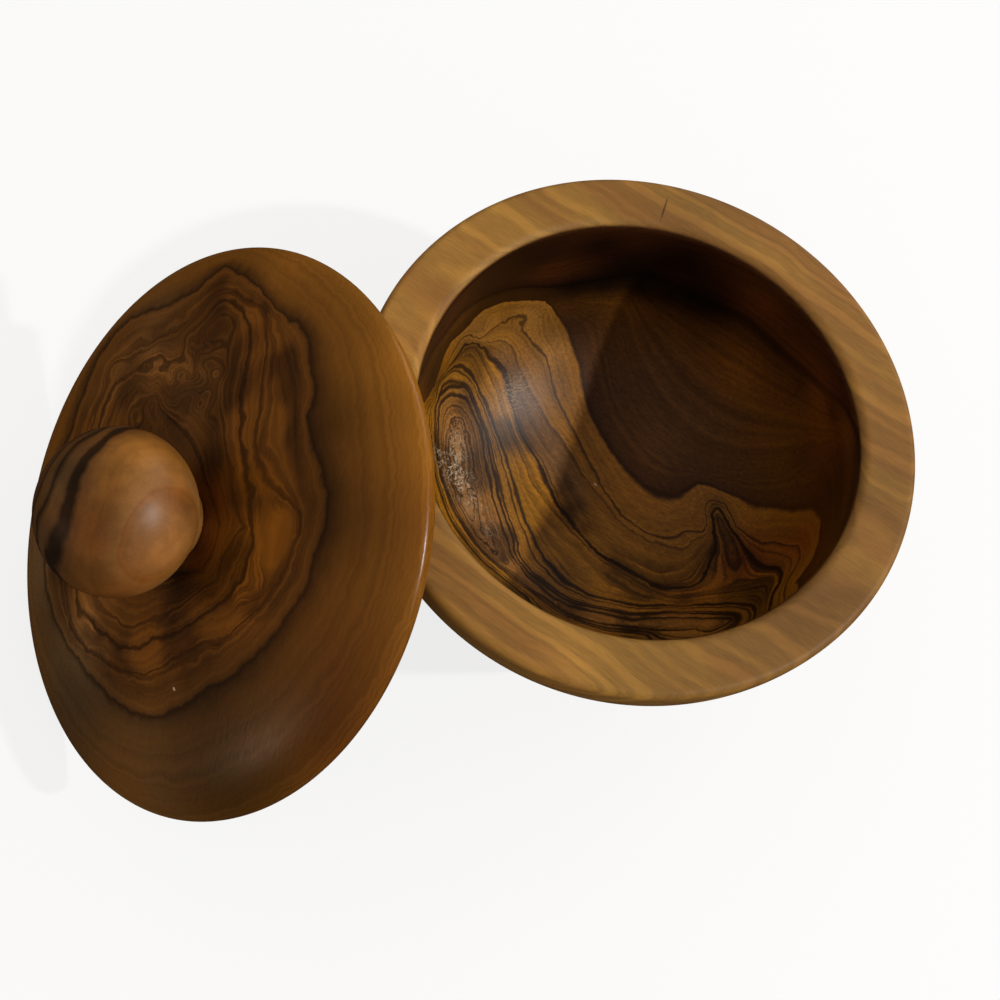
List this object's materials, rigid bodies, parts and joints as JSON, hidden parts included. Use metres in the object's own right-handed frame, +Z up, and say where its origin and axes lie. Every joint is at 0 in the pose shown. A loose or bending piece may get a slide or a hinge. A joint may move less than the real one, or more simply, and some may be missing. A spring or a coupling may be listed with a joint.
{
  "type": "lidded salt jar",
  "caption": "Round turned olive wood salt jar, open, with its low domed lid and ball knob leaning on the rim; the lid lifts away.",
  "frame": {"origin": "centre of the jar's flat foot, on the surface that the jar stands on", "axes": "+Z up along the jar's axis of turning, +X from the leaning lid towards the jar, +Y to complete a right-handed frame; the arrangement is symmetric about y = 0"},
  "size_m": [0.1628, 0.1008, 0.0725],
  "materials": {
    "jar_wood": "oiled olive wood, satin, honey sapwood ring with a dark figured heartwood hollow",
    "lid_wood": "oiled olive wood, satin, dark wavy heartwood figure on brown sapwood",
    "knob_wood": "oiled olive wood, satin, honey brown with dark stripes"
  },
  "bodies": {
    "jar": {"jar_body": "jar_wood"},
    "lid": {"lid": "lid_wood", "knob": "knob_wood"}
  },
  "joints": [
    {"name": "lid_lift", "type": "slide", "parent": "jar", "child": "lid", "axis": [0, 0, 1], "range_m": [0, 0.1]}
  ]
}
